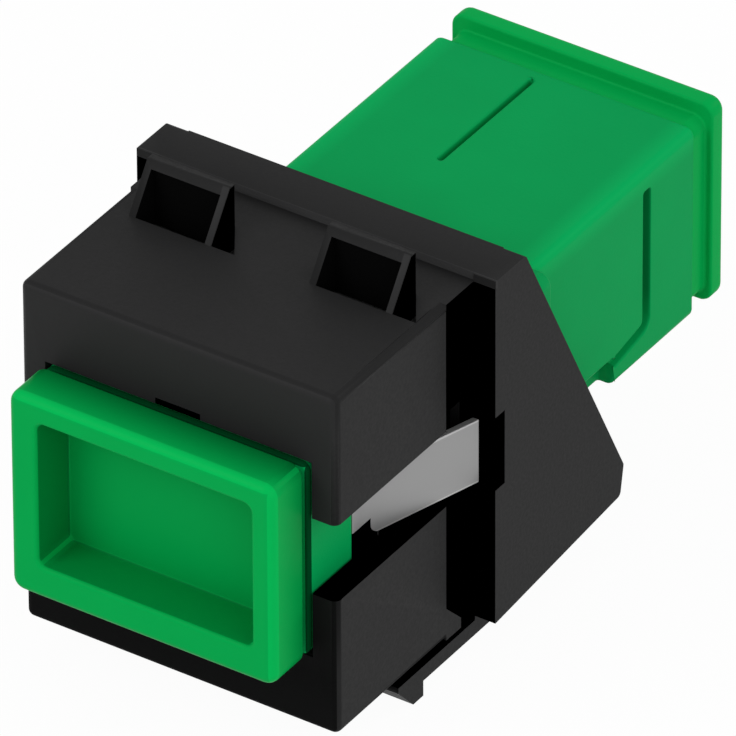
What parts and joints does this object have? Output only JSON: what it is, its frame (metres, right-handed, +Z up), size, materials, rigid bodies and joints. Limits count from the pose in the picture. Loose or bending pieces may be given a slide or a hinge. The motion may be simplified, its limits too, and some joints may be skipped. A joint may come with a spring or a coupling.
{
  "type": "sc fibre adapter",
  "caption": "Snap-in panel housing holding a fibre adapter between two plug ports, with a steel retaining clip, a split alignment sleeve and a pull-off dust cap in each port.",
  "frame": {"origin": "middle of the split sleeve, on its bore, where the two fibres meet", "axes": "+X to the right seen from the front, +Y along the bore to the rear of the panel, +Z up"},
  "size_m": [0.0176, 0.0339, 0.0206],
  "materials": {
    "housing_plastic": "satin moulded black plastic",
    "adapter_plastic": "semi-gloss moulded green plastic",
    "insert_plastic": "natural moulded plastic",
    "sleeve_ceramic": "polished white zirconia ceramic",
    "clip_steel": "rolled stainless spring steel",
    "cap_plastic": "semi-gloss moulded green plastic"
  },
  "bodies": {
    "adapter": {"snap_in_housing": "housing_plastic", "adapter_front_half": "adapter_plastic", "adapter_rear_half": "adapter_plastic", "hook_insert_front": "insert_plastic", "hook_insert_rear": "insert_plastic", "split_sleeve": "sleeve_ceramic", "spring_clip": "clip_steel"},
    "front_cap": {"front_dust_cap": "cap_plastic"},
    "rear_cap": {"rear_dust_cap": "cap_plastic"}
  },
  "joints": [
    {"name": "front_cap_pull", "type": "slide", "parent": "adapter", "child": "front_cap", "axis": [0, -1, 0], "range_m": [0, 0.04]},
    {"name": "rear_cap_pull", "type": "slide", "parent": "adapter", "child": "rear_cap", "axis": [0, 1, 0], "range_m": [0, 0.04]}
  ]
}
